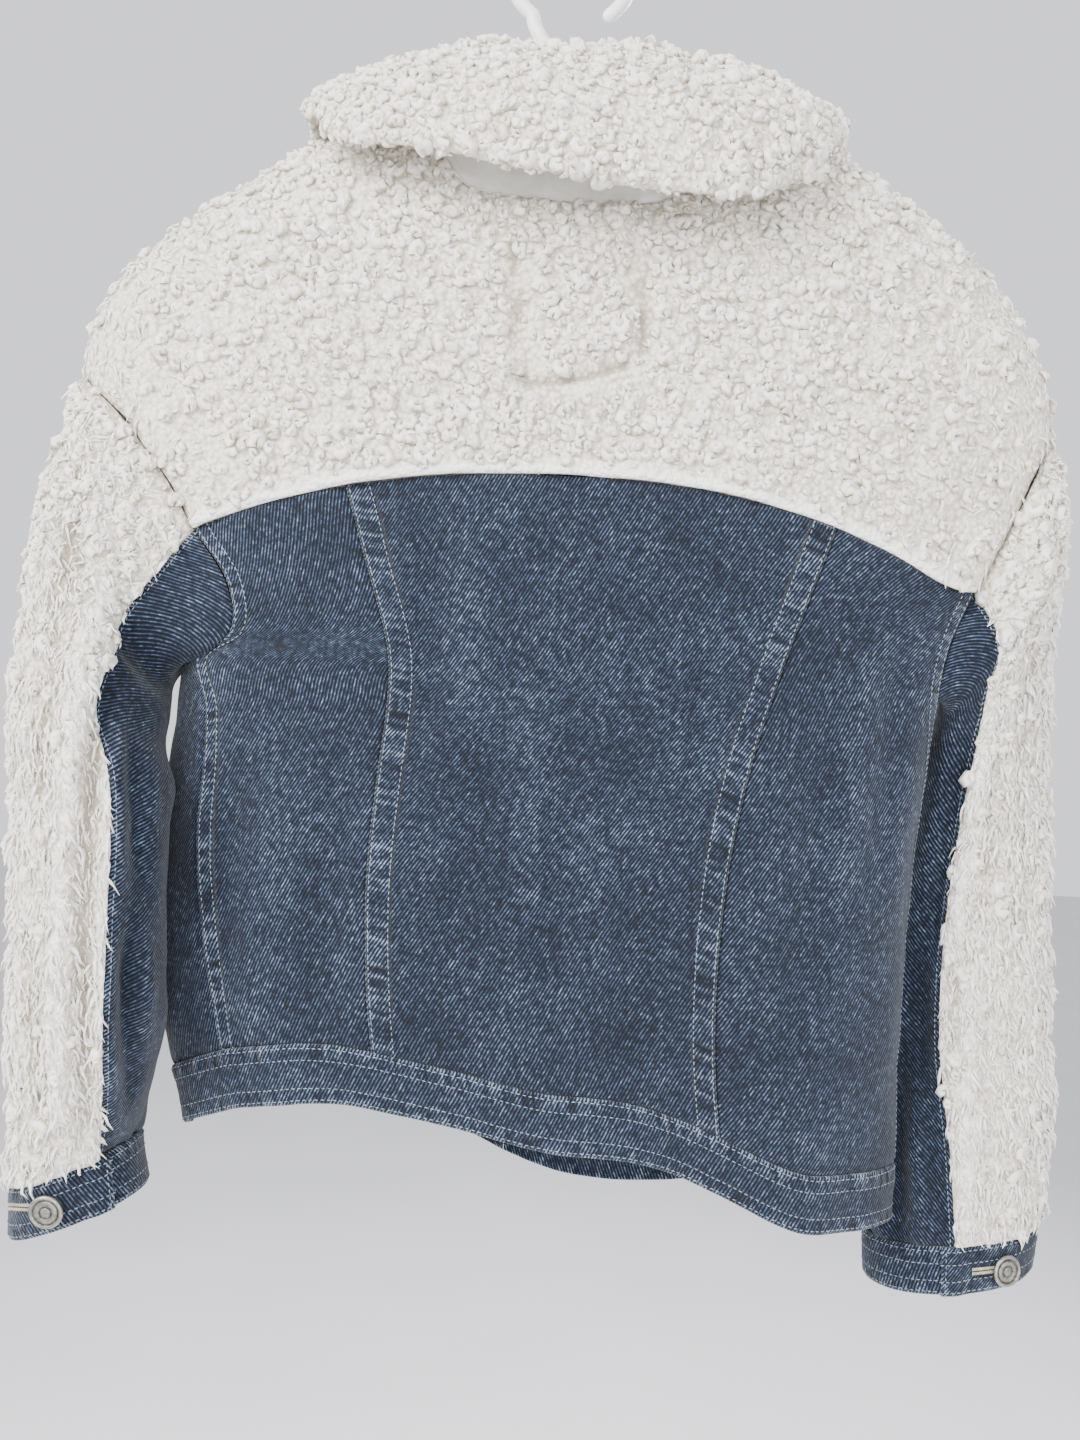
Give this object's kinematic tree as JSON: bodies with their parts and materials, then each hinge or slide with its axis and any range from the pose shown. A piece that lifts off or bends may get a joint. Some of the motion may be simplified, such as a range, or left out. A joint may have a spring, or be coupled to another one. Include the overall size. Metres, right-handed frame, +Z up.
{
  "type": "sherpa trimmed denim jacket on a hanger",
  "caption": "Cropped denim jacket with sherpa collar, yoke and upper sleeves, buttoned and hung on a tubular plastic hanger.",
  "frame": {"origin": "the point inside the top of the hanger's hook where it rests on its rail", "axes": "+Z up as it hangs, front of the jacket faces -Y, wearer's left is +X"},
  "size_m": [0.5755, 0.1783, 0.7493],
  "materials": {
    "sherpa": "curled pile",
    "denim": "stone washed twill",
    "cotton": "plain weave",
    "pewter": "antique, worn bright at the rim",
    "white_plastic": "moulded gloss"
  },
  "bodies": {
    "root": {"back_yoke": "sherpa", "front_yoke_left": "sherpa", "front_yoke_right": "sherpa", "upper_sleeve_left": "sherpa", "upper_sleeve_right": "sherpa", "collar_fall": "sherpa", "collar_stand": "cotton", "centre_back": "denim", "side_back_left": "denim", "side_back_right": "denim", "front_left": "denim", "front_right": "denim", "placket": "denim", "under_sleeve_left": "denim", "under_sleeve_right": "denim", "waistband": "denim", "cuff_left": "denim", "cuff_right": "denim", "cuff_button_left": "pewter", "cuff_button_right": "pewter", "front_button_1": "pewter", "front_button_2": "pewter", "front_button_3": "pewter", "front_button_4": "pewter", "front_button_5": "pewter", "hanger": "white_plastic"}
  },
  "joints": []
}
